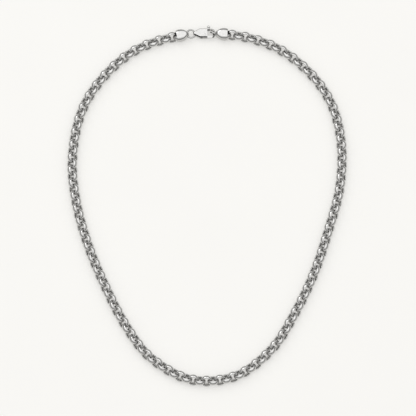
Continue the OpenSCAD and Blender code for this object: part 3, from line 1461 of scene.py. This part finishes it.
    def rivet(self) -> bpy.types.Object:
        """Model the rivet at the origin, its two heads flush and faintly dished.

        Returns:
            The rivet.
        """
        z = self.sizes
        rivet = Blank.disc(z.pivot, z.rivet_d / 2, z.body_t)
        Bench.edit(rivet, "FACE")
        Bench.pick(rivet, "faces", lambda f: len(f.verts) > 4)
        bpy.ops.mesh.inset(thickness=z.head_rim, depth=0, use_individual=True)
        bpy.ops.mesh.inset(thickness=z.head_slope, depth=-z.head_dish, use_individual=True)
        Bench.clear()
        Blank.soften(rivet, z.rivet_edge, degrees=60)
        Bench.smooth(rivet, self.crease)
        return rivet

    def build(self) -> None:
        """Build the body, the lever and the rivet and lay them in place."""
        finish = self.finish.make()
        at = self.closure.clasp_place()
        body = self.body()
        body.data.transform(at)
        Bench.boolean(body, eye_cutter(self.closure), Cut.REMOVE)
        Bench.smooth(body, self.crease)
        Bench.even(body)
        Bench.lay(body, "clasp_body_drop", HERE, finish, Slot.CLASP, "clasp_body")
        Bench.lay(self.lever(), "clasp_lever_gate", at, finish, Slot.CLASP, "clasp_lever",
                  Body.LEVER)
        Bench.lay(self.rivet(), "clasp_rivet_pin", at, finish, Slot.CLASP, "clasp_rivet")


# Studio


@dataclass(frozen=True)
class Lamp:
    """One soft box, aimed at the middle of the card."""

    name: str
    at: tuple[float, float, float]
    size: tuple[float, float]
    power: float

    def hang(self) -> None:
        """Put the soft box up."""
        data = bpy.data.lights.new(self.name, "AREA")
        data.shape = "RECTANGLE"
        data.size, data.size_y = self.size
        data.energy = self.power
        lamp = bpy.data.objects.new(self.name, data)
        lamp.location = self.at
        lamp.visible_camera = False
        lamp.rotation_euler = (-Vector(self.at)).to_track_quat("-Z", "Y").to_euler()
        bpy.context.scene.collection.objects.link(lamp)


@dataclass(frozen=True)
class Studio:
    """A pale card, soft light all round and a long lens from nearly overhead."""

    tilt: float = 14.0
    distance: float = 2.2
    picture_px: int = 416
    pixel_mm: float = 0.46
    aim: tuple[float, float, float] = (0.0005, -0.0015, 0.0)
    card: PaleCard = PaleCard()
    card_w: float = 6.0
    sky: Colour = (1.0, 0.995, 0.985)
    front_wall: float = 0.0
    back_wall: float = 0.1
    wall_blend: float = 0.5
    ceiling: float = 0.8
    wall_foot: float = 0.12
    wall_top: float = 0.5
    lamps: tuple[Lamp, ...] = (
        Lamp("top_box", (0.0, 0.15, 1.2), (1.8, 1.8), 8.5),
        Lamp("key_box", (-0.6, 0.75, 0.9), (0.6, 0.6), 1.5),
    )

    def build(self) -> None:
        """Set up the card, the light and the camera."""
        self.floor()
        self.light()
        self.camera()

    def floor(self) -> None:
        """Lay the card."""
        Bench.clear()
        bpy.ops.mesh.primitive_grid_add(x_subdivisions=4, y_subdivisions=4, size=self.card_w)
        card = bpy.context.object
        card.name = self.card.name
        card.data.materials.append(self.card.make())

    def light(self) -> None:
        """Fill the room with soft light and hang the boxes."""
        world = bpy.data.worlds.new("soft_room")
        graph = Graph(world)
        way = graph.add("ShaderNodeTexCoord", {}, {}, "Generated")
        parts = graph.add("ShaderNodeSeparateXYZ", {}, {"Vector": way}).socket.node.outputs
        wall = graph.step(Signal(graph, parts["Y"]), -self.wall_blend, self.wall_blend,
                          self.front_wall, self.back_wall)
        up = graph.step(Signal(graph, parts["Z"]), self.wall_foot, self.wall_top)
        level = wall * (1 - up) + up * self.ceiling
        sky = graph.add("ShaderNodeBackground", {}, {"Color": (*self.sky, 1.0), "Strength": level})
        graph.close("ShaderNodeOutputWorld", sky)
        bpy.context.scene.world = world
        for lamp in self.lamps:
            lamp.hang()
        bpy.context.scene.view_settings.view_transform = "Standard"

    def camera(self) -> None:
        """Place the camera and make it the scene's own."""
        lean = math.radians(self.tilt)
        data = bpy.data.cameras.new("camera")
        data.sensor_width = 36.0
        data.lens = data.sensor_width * self.distance / (self.picture_px * self.pixel_mm * MM)
        data.clip_end = 20.0
        camera = bpy.data.objects.new("camera", data)
        away = Vector((0.0, -math.sin(lean), math.cos(lean))) * self.distance
        camera.location = Vector(self.aim) + away
        camera.rotation_euler = (lean, 0.0, 0.0)
        bpy.context.scene.collection.objects.link(camera)
        bpy.context.scene.camera = camera


def main() -> None:
    """Build the necklace, its finishes and the studio."""
    logging.basicConfig(level=logging.INFO, format="%(name)s: %(message)s")
    closure = Closure()
    run = ChainRun(closure)
    link = HalfRoundLink()
    Chain(run, link).build()
    Caps(closure, link, run).build()
    LobsterClasp(closure).build()
    Studio().build()


if __name__ == "__main__":
    main()
